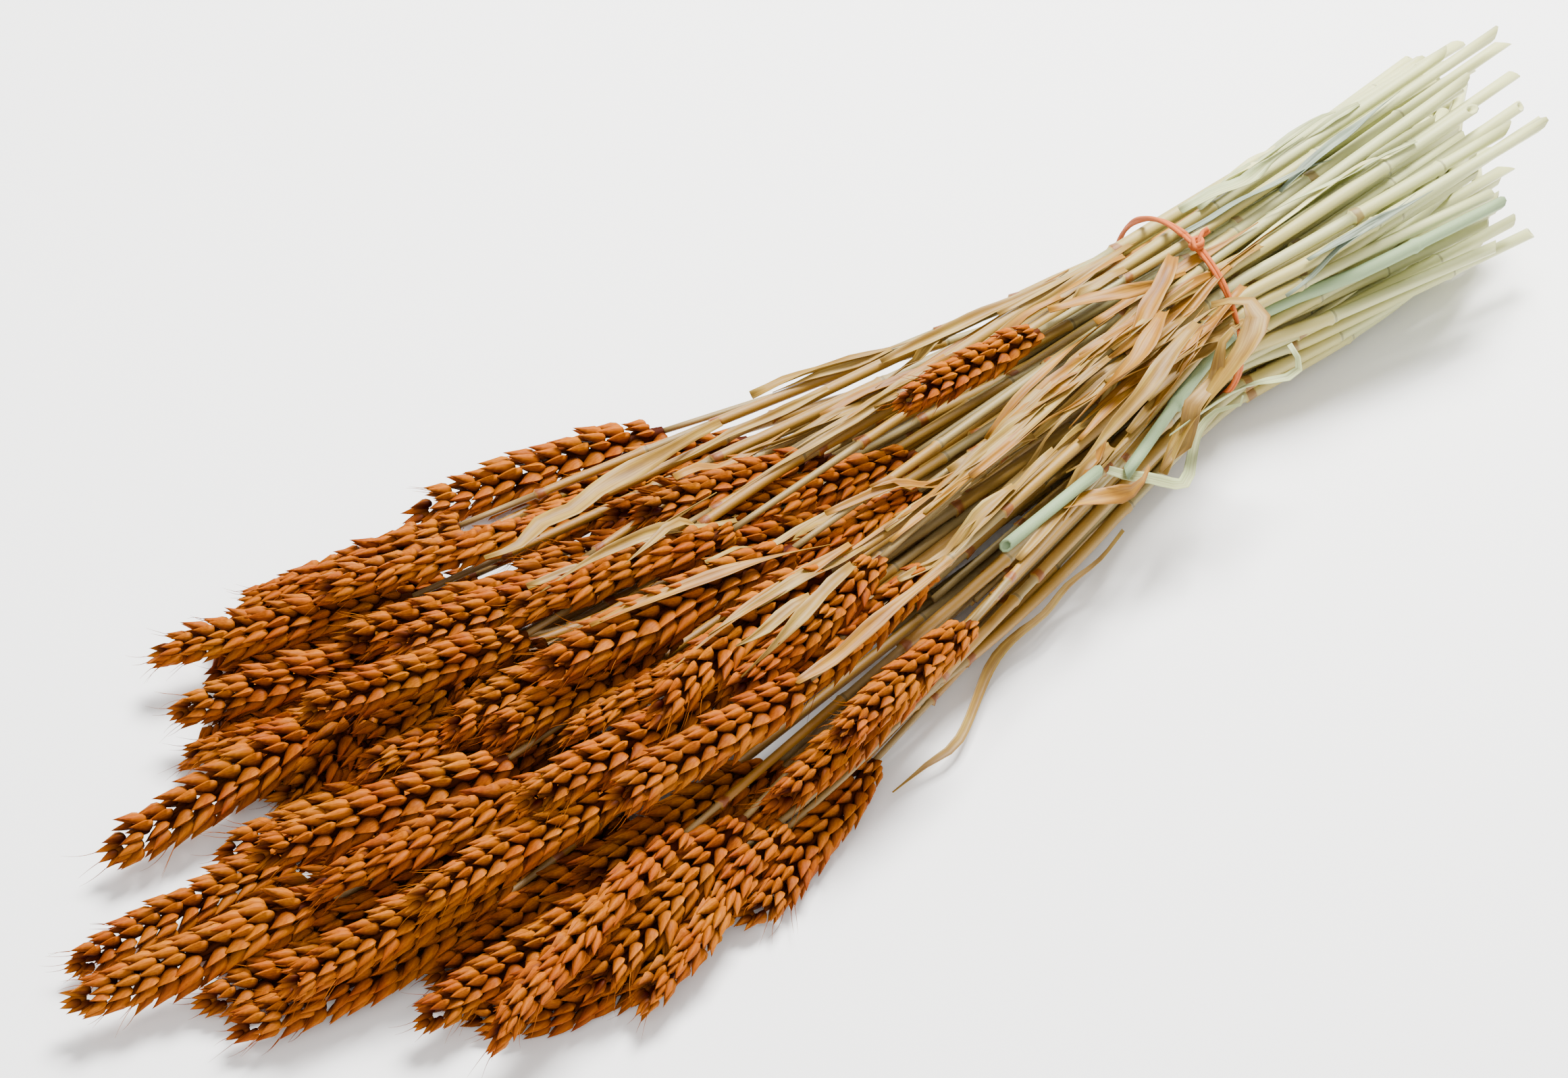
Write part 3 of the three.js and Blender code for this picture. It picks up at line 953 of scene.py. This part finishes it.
def inner_candidates(eared, bare, seed, stations, xs):
    """Routes and radii to start the inner strands from. Each runs between two of the frame's
    strands, and those with ears where there is most room."""
    rng = random.Random(seed)
    known_middles = [middle for middle, _ in stations.values()]
    known_radii = [radius for _, radius in stations.values()]
    tips = {name: STRANDS[name].places[0] for name in STALK_NODES}
    middles, radii = [], []
    for index in range(eared + bare):
        has_ear = index < eared
        best = -1.0
        for _ in range(EAR_TRIES if has_ear else 1):
            a, b = rng.sample(STALK_NODES, 2)
            ma, mb = stations[a][0], stations[b][0]
            share = rng.uniform(0.3, 0.7)
            first = max(tips[a].x, tips[b].x) + rng.uniform(2, 50) * MM
            first = min(first, TIE_MIDDLE.x - rng.uniform(305, 350) * MM)
            if (tips[a] - tips[b]).length > 60 * MM and has_ear:
                continue
            route = ma * (1 - share) + mb * share
            room = 0.0
            for reach_x in (first + 15 * MM, first + 45 * MM, first + 75 * MM):
                k = int(round((reach_x - xs[0]) / INNER_STEP))
                others = [m[k, 0] for m, r in zip(known_middles, known_radii) if r[k] > 3.5 * MM]
                room += min([abs(y - route[k, 0]) for y in others] + [14 * MM])
            if room > best:
                best, middle, start, parent = room, route, first, a
        middle = middle.copy()
        middle[:, 1] *= INNER_HEIGHT
        outline = [place.x - STRANDS[parent].places[0].x for place in STRANDS[parent].places]
        radius = np.interp(xs - start, outline, STRANDS[parent].radii, left=0.0)
        if not has_ear:
            start = rng.uniform(-0.05, 0.06)
            radius = np.full(len(xs), rng.uniform(1.1, 1.8) * MM)
        end = rng.uniform(CAD_HIGH.x - 0.04, CAD_HIGH.x - 0.006)
        radius = np.where((xs >= start) & (xs <= end), radius, 0.0)
        middles.append(middle)
        radii.append(radius)
        known_middles.append(middle)
        known_radii.append(radius)
    return np.stack(middles), np.stack(radii)


def inner_strands(eared, bare, seed):
    """Strands that fill the room between the frame's. All of them are pushed apart, but never
    above or beside the frame's."""
    xs = np.arange(CAD_LOW.x, CAD_HIGH.x, INNER_STEP)
    stations = {name: stations_of(STRANDS[name], xs) for name in STALK_NODES}
    fixed_middle = np.stack([middle for middle, _ in stations.values()])
    fixed_radius = np.stack([radius for _, radius in stations.values()])
    middles, radii = inner_candidates(eared, bare, seed, stations, xs)
    reach = fixed_radius > 0
    ceiling = np.interp(xs, [TIE_MIDDLE.x - 0.2, TIE_MIDDLE.x - 0.1], [INNER_HEIGHT, 1.0])
    low = np.where(reach, fixed_middle[:, :, 0] - fixed_radius, 9.0).min(axis=0)
    high = np.where(reach, fixed_middle[:, :, 0] + fixed_radius, -9.0).max(axis=0)
    own = np.arange(len(middles))
    for _ in range(INNER_ROUNDS):
        everyone = np.concatenate([fixed_middle, middles])
        everyones = np.concatenate([fixed_radius, radii])
        apart = middles[:, None] - everyone[None]
        distance = np.linalg.norm(apart, axis=3) + 1e-7
        meet = (radii[:, None] > 0) & (everyones[None] > 0)
        wanted = radii[:, None] + everyones[None] + INNER_GAP
        overlap = np.where(meet, np.clip(wanted - distance, 0, None), 0.0)
        overlap[own, len(stations) + own] = 0.0
        push = (apart / distance[..., None] * overlap[..., None] * 0.45).sum(axis=1)
        middles = middles + np.clip(push, -1.2 * MM, 1.2 * MM)
        middles[:, 1:-1] = middles[:, 1:-1] * 0.5 + 0.25 * (middles[:, :-2] + middles[:, 2:])
        middles[:, :, 0] = np.clip(middles[:, :, 0], low + radii, np.maximum(high - radii, low + radii))
        beside = np.abs(fixed_middle[None, :, :, 0] - middles[:, None, :, 0]) < fixed_radius[None] + 5 * MM
        top = np.where(beside & reach[None], (fixed_middle[:, :, 1] + fixed_radius)[None], 0.012).max(axis=1)
        top = top * ceiling
        lowest = radii + INNER_GAP
        middles[:, :, 1] = np.clip(middles[:, :, 1], lowest, np.maximum(top - radii, lowest))
    strands = []
    for middle, radius in zip(middles, radii):
        kept = [i for i in range(len(xs)) if radius[i] > 0]
        places = [Vector((xs[i], *middle[i])) for i in kept]
        strands.append(Strand(places, [float(radius[i]) for i in kept]))
    return strands


INNER = {}


def inner_pieces():
    """The strands inside the heap, found once: those with ears and those without."""
    settings = bpy.context.scene.wheat_fill
    key = (settings.stalks, settings.straws, settings.seed)
    if key not in INNER:
        strands = inner_strands(*key)
        INNER[key] = (strands[: settings.stalks], strands[settings.stalks :])
    return INNER[key]


def top_of_heap(x, y, spread):
    """The height of the heap near a place, from every strand within spread of it."""
    top = 0.0
    eared, bare = inner_pieces()
    for strand in [*STRANDS.values(), *eared, *bare]:
        if strand.places[0].x <= x <= strand.places[-1].x:
            middle, radius = strand.at(x)
            aside = max(0.0, abs(middle.y - y) - spread)
            if aside < radius:
                top = max(top, middle.z + math.sqrt(radius**2 - aside**2))
    return top


# ---- Leaf blades ----


def blade_mesh(bm, points, width, rng, fold, twist, start_width, end_width):
    """A dry leaf blade along points: a folded, twisted ribbon with torn ends and a wavy edge.

    start_width and end_width are parts of width."""
    grain = layers(bm)[0]
    line = smooth_line(points, 5 * MM)
    distances = distances_along(line)
    phase = rng.uniform(0, 6)
    tone_value = rng.uniform(0, 1)
    stations = []
    for place, along, distance in zip(line, tangents(line), distances):
        share = distance / distances[-1]
        wide = mix(start_width, 1.0, smooth_step(0, 0.25, share))
        wide *= mix(1.0, end_width, smooth_step(0.45, 1.0, share))
        wide *= 1 + 0.12 * math.sin(phase + share * 19) * rng.uniform(0.4, 1)
        turn = twist * share + 0.35 * math.sin(phase + share * 7)
        matrix = frame_at(place, along, UP) @ Matrix.Rotation(turn, 4, "X")
        stations.append((matrix, wide * width / 2, distance, tone_value))
    section = [(-1, fold), (-0.5, fold * 0.25), (0, 0), (0.5, fold * 0.25), (1, fold)]
    sweep(bm, section, stations, closed=False)
    for vert in bm.verts:
        place = vert[grain]
        vert[grain] = Vector((place.x, place.y * width / 2, place.z * width / 2 + phase * 0.01))


def add_blade(name, kind, points, width, rng, shape, replaced=()):
    """A leaf blade as a piece. shape is its fold, its twist and the widths of its two ends."""
    bm = bmesh.new()
    blade_mesh(bm, points, width, rng, *shape)
    bmesh.ops.recalc_face_normals(bm, faces=bm.faces)
    bmesh.ops.solidify(bm, geom=list(bm.faces), thickness=bpy.context.scene.wheat_leaves.thickness)
    bmesh.ops.recalc_face_normals(bm, faces=bm.faces)
    return add_piece(finish_mesh(bm, name), leaf_named(kind), replaced)


def leaf_named(kind):
    """The material for a kind of leaf in LEAF_STOPS."""
    return material_named(kind, leaf_material, kind, LEAF_STOPS[kind])


def tie_spot(x, y, z):
    """A place given in millimetres from the middle of the tie along X and Y, and from the floor."""
    return Vector((TIE_MIDDLE.x + x * MM, TIE_MIDDLE.y + y * MM, z * MM))


LEAF_STOPS = {
    "dyed_wheat_leaf": [(0.25, "#744600"), (0.5, "#9A680A"), (0.75, "#AA7E1C")],
    "tan_wheat_leaf": [(0.25, "#745218"), (0.5, "#947228"), (0.75, "#A48A3E")],
    "pale_wheat_leaf": [(0.25, "#8A9264"), (0.5, "#AAB27C"), (0.75, "#C0C48C")],
    "grey_wheat_leaf": [(0.25, "#566252"), (0.5, "#788670"), (0.75, "#929E82")],
    "bleached_wheat_leaf": [(0.25, "#B8B27A"), (0.5, "#D0CE8C"), (0.75, "#E0DE9C")],
    "green_wheat_straw": [(0.25, "#7C9468"), (0.5, "#8EA67A"), (0.75, "#9AAE84")],
}

# The frame's leaves, with their part of the blade width.
FRAME_LEAVES = [("leaf_edge", 0.55), ("leaf_far", 1.1), ("leaf_fold", 0.9)]
FRAME_LEAF_SHAPE = (0.3, 0.6, 0.2, 0.4)

# The leaves that lie on the bunch in plain sight: material, width in millimetres, fold, twist,
# the narrow end's part of the width, and places for tie_spot.
SHOWN_LEAVES = [
    ("tan_wheat_leaf", 8, 0.3, 0.4, 0.4, [
        (-17, -28, 62), (-13, -32, 64), (-10, -37, 65), (-11, -42, 63), (-21, -47, 59),
        (-36, -49, 52), (-49, -48, 42), (-61, -52, 34)]),
    ("tan_wheat_leaf", 6, 0.5, -0.6, 0.1, [
        (-26, -31, 62), (-41, -35, 62), (-57, -39, 60), (-73, -41, 56), (-90, -43, 50), (-94, -41, 48)]),
    ("dyed_wheat_leaf", 6, 0.3, 1.2, 0.2, [
        (-104, -49, 46), (-93, -52, 44), (-80, -56, 42), (-74, -55, 42), (-68, -52, 42)]),
    ("pale_wheat_leaf", 4, 0.3, 1.0, 0.3, [
        (-82, -42, 44), (-77, -49, 42), (-69, -53, 38), (-58, -58, 32), (-48, -52, 32),
        (-39, -46, 34), (-31, -46, 38), (-23, -49, 38), (-21, -48, 40)]),
    ("pale_wheat_leaf", 3.2, 0.3, 1.4, 0.3, [
        (-2, -49, 51), (-2, -53, 48), (-3, -55, 45), (-7, -54, 43), (-13, -51, 43),
        (-23, -50, 46), (-35, -49, 46), (-55, -48, 44)]),
    ("dyed_wheat_leaf", 5, 0.4, 0.8, 0.2, [
        (-60, 2, 66), (-48, -4, 67), (-36, -8, 66), (-24, -10, 64), (-12, -12, 63)]),
    ("dyed_wheat_leaf", 6, 0.5, -0.8, 0.1, [
        (-12, -6, 66), (-22, -12, 65), (-34, -16, 62), (-46, -20, 59), (-60, -20, 57)]),
    ("dyed_wheat_leaf", 6, 0.5, 1.2, 0.1, [
        (-30, -20, 62), (-42, -26, 63), (-54, -30, 61), (-68, -30, 57), (-84, -32, 54)]),
    ("pale_wheat_leaf", 5, 0.5, 0.8, 0.1, [
        (6, 8, 66), (18, 6, 67), (32, 4, 66), (46, 6, 66), (60, 4, 70)]),
]

# The small leaves on the heap lie mostly on the stems, some on the ears and some past the tie:
# the part of a random draw that each zone ends at, where a leaf starts along X from the middle of
# the tie, its materials and its greatest width.
DYED_KINDS = ("dyed_wheat_leaf", "tan_wheat_leaf")
CUT_END_KINDS = ("pale_wheat_leaf", "bleached_wheat_leaf", "grey_wheat_leaf")
HEAP_ZONES = [
    (0.68, (-160 * MM, -40 * MM), DYED_KINDS, 5 * MM),
    (0.84, (-250 * MM, -160 * MM), DYED_KINDS, 5 * MM),
    (1.0, (0, 110 * MM), CUT_END_KINDS, 4 * MM),
]


def add_frame_leaves():
    """The leaves that the frame holds."""
    width = bpy.context.scene.wheat_leaves.width
    for name, wide in FRAME_LEAVES:
        places = read_strand(name).places
        points = places[:: max(1, len(places) // 7)] + [places[-1]]
        rng = random.Random(name)
        add_blade(name, "tan_wheat_leaf", points, width * wide, rng, FRAME_LEAF_SHAPE, (name,))


def add_shown_leaves():
    """The leaves that lie on the bunch in plain sight."""
    for index, (kind, wide, fold, twist, end_width, spots) in enumerate(SHOWN_LEAVES):
        points = [tie_spot(*spot) for spot in spots]
        shape = (fold, twist, 0.6, end_width)
        add_blade(f"shown_leaf_{index + 1:02d}", kind, points, wide * MM, random.Random(800 + index), shape)


def add_heap_leaves(count):
    """The small leaves that lie along the heap."""
    rng = random.Random(40)
    made = 0
    while made < count:
        draw = rng.random()
        _, span, kinds, widest = next(zone for zone in HEAP_ZONES if draw < zone[0])
        start = TIE_MIDDLE.x + rng.uniform(*span)
        points = heap_leaf(rng, start, rng.uniform(0.03, 0.085), rng.uniform(-8, 8) * MM)
        if points is None:
            continue
        if rng.random() < 0.6:
            points.reverse()
        made += 1
        kind = rng.choice(kinds)
        width = rng.uniform(2.2 * MM, widest)
        shape = (rng.uniform(0.2, 0.8), rng.uniform(-1.2, 1.2), 0.6, 0.05)
        add_blade(f"heap_leaf_{made:02d}", kind, points, width, rng, shape)


def heap_leaf(rng, start, length, lean):
    """Places for a leaf that lies along the bunch on top of the heap, or None where it would
    hang over an edge, drop into a gap or cover the topmost ear."""
    strand = STRANDS[rng.choice(STALK_NODES)]
    ear = STRANDS[TOPMOST]
    foot = ear.places[neck_index(ear)]
    points = []
    last = 5
    for k in range(last + 1):
        x = start + length * k / last
        if not strand.places[0].x < x < strand.places[-1].x:
            return None
        y = strand.at(x)[0].y + lean * (k / last - 0.3)
        top = top_of_heap(x, y, 2.5 * MM)
        edge = top_of_heap(x, y + 7 * MM, 1 * MM)
        steep = points and abs(top - points[-1].z) > 9 * MM
        over_ear = ear.places[0].x - 8 * MM < x < foot.x and abs(y - ear.at(x)[0].y) < 11 * MM
        if min(top, edge) <= 0 or steep or over_ear:
            return None
        points.append(Vector((x, y, top + rng.uniform(0.2, 1.4) * MM)))
    return points


# ---- The cord ----

# The sides of the frame's band.
TIE_SIDES = 32

# The length of one turn of the two strands round each other, and of the waves on a strand.
LAY_LENGTH = 34 * MM / 0.35
WAVE_LENGTH = 1.9 * MM

# The knot and its tail, in millimetres from the top of the tie.
KNOT_PLACES = [
    (-2, 1, 0.4), (-1.4, -1.4, 1.6), (0.6, -1.6, 2.0), (1.8, 0.6, 1.6),
    (0.4, 1.8, 1.4), (-1.6, 0.4, 2.2), (-2.6, -1.6, 1.2),
]
TAIL_PLACES = [(0, 0, 1), (2, 1.0, 2.2), (4, 1.4, 2.4), (6, 0.8, 3.4)]


def tie_loop():
    """Places round the middle of the tie, in order, starting at its top."""
    places = {}
    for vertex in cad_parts["tie_band"].data.vertices:
        turn = math.atan2(vertex.co.y - TIE_MIDDLE.y, vertex.co.z - TIE_MIDDLE.z)
        key = round(turn / (2 * math.pi / TIE_SIDES)) % TIE_SIDES
        places.setdefault(key, set()).add(tuple(round(c, 5) for c in vertex.co))
    loop = []
    for key in sorted(places):
        points = [Vector(point) for point in sorted(places[key])]
        loop.append(sum(points, Vector()) / len(points))
    return loop


def strand_line(line, strand, radius):
    """The middle line of one of the cord's two strands, which turn slowly round each other."""
    middle = sum(line, Vector()) / len(line)
    curve = []
    for place, along, distance in zip(line, tangents(line), distances_along(line)):
        turn = math.pi * strand + distance / LAY_LENGTH * 2 * math.pi
        out = (place - middle) - (place - middle).project(along)
        basis = frame_at(place, along, out if out.length > 1e-6 else UP)
        curve.append(basis @ Vector((0, math.cos(turn) * radius * 0.92, math.sin(turn) * radius * 0.5)))
    return curve


def add_cord(name, line, replaced=()):
    """Two strands laid side by side along a line, each with the fine waves of its twist."""
    radius = bpy.context.scene.wheat_tie.strand / 2
    bm = bmesh.new()
    layers(bm)
    for strand in (0, 1):
        curve = strand_line(line, strand, radius)
        stations = []
        for place, along, distance in zip(curve, tangents(curve), distances_along(curve)):
            wave = 1 + 0.08 * math.sin(distance / WAVE_LENGTH + strand)
            out = UP if abs(along.z) < 0.9 else Vector((0, 1, 0))
            stations.append((frame_at(place, along, out), radius * wave, distance, 0.5))
        start, edges = sweep(bm, round_section(8), stations)
        for ring in (start, ring_of(edges)):
            bmesh.ops.contextual_create(bm, geom=ring)
    bmesh.ops.recalc_face_normals(bm, faces=bm.faces)
    material = material_named("twisted_paper_cord", cord_material)
    return add_piece(finish_mesh(bm, name), material, replaced)


# ---- Operators ----


class WHEAT_OT_ears(bpy.types.Operator):
    """Grow an ear on each stalk of the frame"""

    bl_idname = "wheat.ears"
    bl_label = "Ears"

    def execute(self, context):
        spikelets = spikelet_set()
        for index, name in enumerate(STALK_NODES):
            rng = random.Random(100 + index)
            add_ear(name.replace("stalk", "ear"), STRANDS[name], spikelets, rng, ear_turn(rng), (name,))
        return {"FINISHED"}


class WHEAT_OT_stems(bpy.types.Operator):
    """Model the straw below each ear"""

    bl_idname = "wheat.stems"
    bl_label = "Stems"

    def execute(self, context):
        for index, name in enumerate(STALK_NODES):
            strand = STRANDS[name]
            neck = neck_index(strand)
            rng = random.Random(300 + index)
            add_stem(name.replace("stalk", "stem"), strand.places[neck:], strand.radii[neck:], rng, (name,))
        return {"FINISHED"}


class WHEAT_OT_inner(bpy.types.Operator):
    """Fill the heap with the stalks that lie inside it"""

    bl_idname = "wheat.inner"
    bl_label = "Inner Stalks"

    def execute(self, context):
        eared, bare = inner_pieces()
        spikelets = coarse_spikelet_set()
        for index, strand in enumerate(eared):
            rng = random.Random(500 + index)
            # Ears inside the heap are painted darker, as painted shade.
            add_ear(f"inner_ear_{index + 1:02d}", strand, spikelets, rng, ear_turn(rng), heap_painted_shade=0.25)
            neck = neck_index(strand)
            add_stem(f"inner_stem_{index + 1:02d}", strand.places[neck:], strand.radii[neck:], rng)
        for index, strand in enumerate(bare):
            add_stem(f"inner_straw_{index + 1:02d}", strand.places, strand.radii, random.Random(700 + index))
        return {"FINISHED"}


class WHEAT_OT_leaves(bpy.types.Operator):
    """Lay the dry leaves along and over the bunch"""

    bl_idname = "wheat.leaves"
    bl_label = "Leaves"

    def execute(self, context):
        add_frame_leaves()
        add_shown_leaves()
        add_heap_leaves(context.scene.wheat_leaves.count)
        return {"FINISHED"}


class WHEAT_OT_straws(bpy.types.Operator):
    """Model the loose cut straws"""

    bl_idname = "wheat.straws"
    bl_label = "Cut Straws"

    def execute(self, context):
        for name in ("straw_short", "straw_pale"):
            strand = read_strand(name)
            rng = random.Random(name)
            add_stem(name, strand.places, strand.radii, rng, (name,), ("start", "end"), "cut_straw")
        return {"FINISHED"}


class WHEAT_OT_tie(bpy.types.Operator):
    """Wrap the cord round the waist of the bunch"""

    bl_idname = "wheat.tie"
    bl_label = "Tie"

    def execute(self, context):
        loop = tie_loop()
        add_cord("tie_cord", smooth_line([*loop, loop[0]], 2.5 * MM), ("tie_band",))
        top = max(loop, key=lambda place: place.z - 0.3 * place.y)
        for name, offsets in (("tie_knot", KNOT_PLACES), ("tie_tail", TAIL_PLACES)):
            points = [top + Vector(offset) * MM for offset in offsets]
            add_cord(name, smooth_line(points, 0.8 * MM))
        return {"FINISHED"}


class WHEAT_OT_stage(bpy.types.Operator):
    """Set up the floor, the lights and the camera"""

    bl_idname = "wheat.stage"
    bl_label = "Stage"

    def execute(self, context):
        add_floor()
        add_lights()
        add_camera()
        return {"FINISHED"}


# Each softbox's name, place and size in metres and power in watts.
SOFTBOXES = [
    ("key_softbox", (0.7, 0.3, 1.35), 0.6, 104.0),
    ("fill_softbox", (-0.9, -0.9, 1.3), 1.6, 24.0),
]
SKY_STRENGTH = 0.72


def add_floor():
    bm = bmesh.new()
    bmesh.ops.create_grid(bm, x_segments=1, y_segments=1, size=6.0)
    floor = bpy.data.objects.new("floor", finish_mesh(bm, "floor", smooth=False))
    floor.data.materials.append(floor_material())
    bpy.context.scene.collection.objects.link(floor)


def add_lights():
    scene = bpy.context.scene
    world = bpy.data.worlds.new("soft_white_sky")
    world.use_nodes = True
    world.node_tree.nodes["Background"].inputs[0].default_value = srgb("#FFFFFF")
    world.node_tree.nodes["Background"].inputs[1].default_value = SKY_STRENGTH
    scene.world = world
    for name, place, size, power in SOFTBOXES:
        light = bpy.data.lights.new(name, "AREA")
        light.shape = "SQUARE"
        light.size = size
        light.energy = power
        lamp = bpy.data.objects.new(name, light)
        lamp.location = place
        lamp.rotation_euler = (-Vector(place)).to_track_quat("-Z", "Y").to_euler()
        scene.collection.objects.link(lamp)


def add_camera():
    scene = bpy.context.scene
    stage = scene.wheat_stage
    camera = bpy.data.cameras.new("camera")
    camera.lens = stage.lens
    camera.sensor_width = 36
    viewer = bpy.data.objects.new("camera", camera)
    level = math.cos(stage.elevation)
    back = Vector(
        (math.sin(stage.azimuth) * level, -math.cos(stage.azimuth) * level, math.sin(stage.elevation))
    )
    viewer.location = Vector(stage.aim) + back * stage.distance
    viewer.rotation_euler = (-back).to_track_quat("-Z", "Y").to_euler()
    scene.collection.objects.link(viewer)
    scene.camera = viewer


class WHEAT_PT_bunch(bpy.types.Panel):
    """Lists the pieces of the bunch"""

    bl_label = "Dried Wheat Bunch"
    bl_space_type = "VIEW_3D"
    bl_region_type = "UI"
    bl_category = "Wheat"

    def draw(self, context):
        for operator, _ in STEPS:
            self.layout.operator(operator.bl_idname)
        for name, group in SETTINGS:
            box = self.layout.box()
            for field in group.__annotations__:
                box.prop(getattr(context.scene, name), field)


STEPS = [
    (WHEAT_OT_ears, "ears"),
    (WHEAT_OT_stems, "stems"),
    (WHEAT_OT_inner, "inner"),
    (WHEAT_OT_leaves, "leaves"),
    (WHEAT_OT_straws, "straws"),
    (WHEAT_OT_tie, "tie"),
    (WHEAT_OT_stage, "stage"),
]
SETTINGS = [
    ("wheat_ears", WheatEarSettings),
    ("wheat_straws", WheatStrawSettings),
    ("wheat_fill", WheatFillSettings),
    ("wheat_leaves", WheatLeafSettings),
    ("wheat_tie", WheatTieSettings),
    ("wheat_stage", WheatStageSettings),
]


def register():
    for name, group in SETTINGS:
        bpy.utils.register_class(group)
        setattr(bpy.types.Scene, name, PointerProperty(type=group))
    for operator, _ in STEPS:
        bpy.utils.register_class(operator)
    bpy.utils.register_class(WHEAT_PT_bunch)


def unregister():
    bpy.utils.unregister_class(WHEAT_PT_bunch)
    for operator, _ in reversed(STEPS):
        bpy.utils.unregister_class(operator)
    for name, group in reversed(SETTINGS):
        delattr(bpy.types.Scene, name)
        bpy.utils.unregister_class(group)


def main():
    register()
    for _, step in STEPS:
        getattr(bpy.ops.wheat, step)()


if __name__ == "__main__":
    main()
